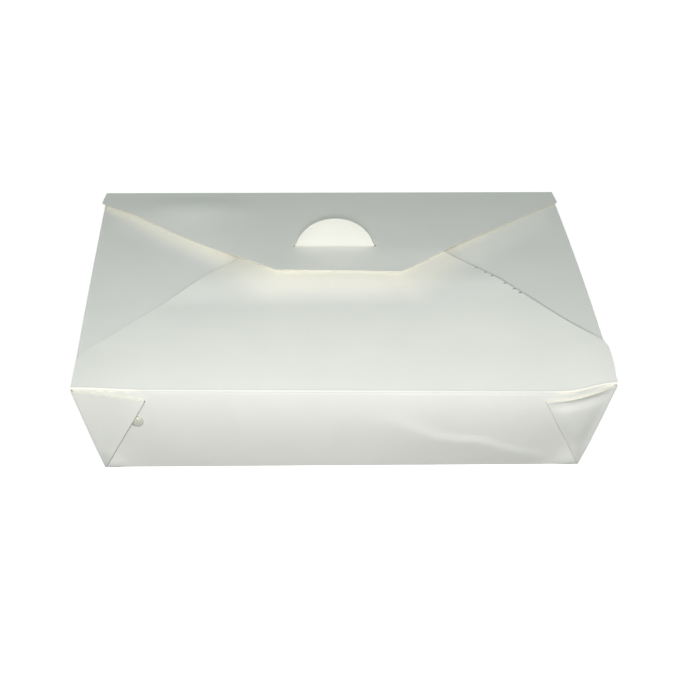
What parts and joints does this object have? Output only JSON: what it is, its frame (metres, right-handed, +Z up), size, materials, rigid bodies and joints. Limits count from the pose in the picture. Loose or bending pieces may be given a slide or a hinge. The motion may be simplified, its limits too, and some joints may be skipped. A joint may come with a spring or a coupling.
{
  "type": "takeout food box",
  "caption": "Folded paperboard food carton with flared walls, doubled web corners and a lid of overlapping flaps held by a tongue in a slit.",
  "frame": {"origin": "middle of the underside of the base, at the centre of the footprint", "axes": "+X along the length, +Y from the front wall to the rear wall, +Z up; the front wall faces -Y"},
  "size_m": [0.216, 0.1606, 0.0668],
  "materials": {
    "board": "white coated paperboard, semi-gloss, 0.45 mm",
    "adhesive": "cured hot-melt adhesive, translucent off-white"
  },
  "bodies": {
    "box": {"carton": "board", "adhesive_dab": "adhesive", "web_glue_spots": "adhesive"},
    "lid_flap": {"rear_flap": "board"}
  },
  "joints": [
    {"name": "rear_flap_fold", "type": "hinge", "parent": "box", "child": "lid_flap", "pos_m": [0, 0.07938, 0.0471], "axis": [-1, 0, 0], "range_deg": [0, 180]}
  ]
}
